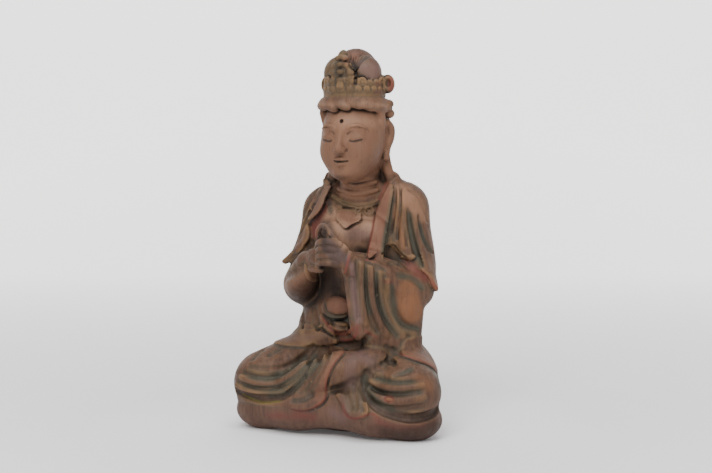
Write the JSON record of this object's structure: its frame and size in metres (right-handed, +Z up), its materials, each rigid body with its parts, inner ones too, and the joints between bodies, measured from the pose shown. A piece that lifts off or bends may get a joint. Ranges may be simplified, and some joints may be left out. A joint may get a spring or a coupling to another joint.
{
  "type": "guanyin statue",
  "caption": "Carved wood statue of a seated crowned figure, legs crossed and hands joined before the chest, in a cloak and robe with worn paint.",
  "frame": {"origin": "middle of the statue's box, on the plane it stands on", "axes": "+Z up, the figure looks along -Y, +X is to the figure's left"},
  "size_m": [0.3284, 0.2218, 0.5604],
  "materials": {
    "wood": "worn paint over carved wood"
  },
  "bodies": {
    "root": {"statue": "wood"}
  },
  "joints": []
}
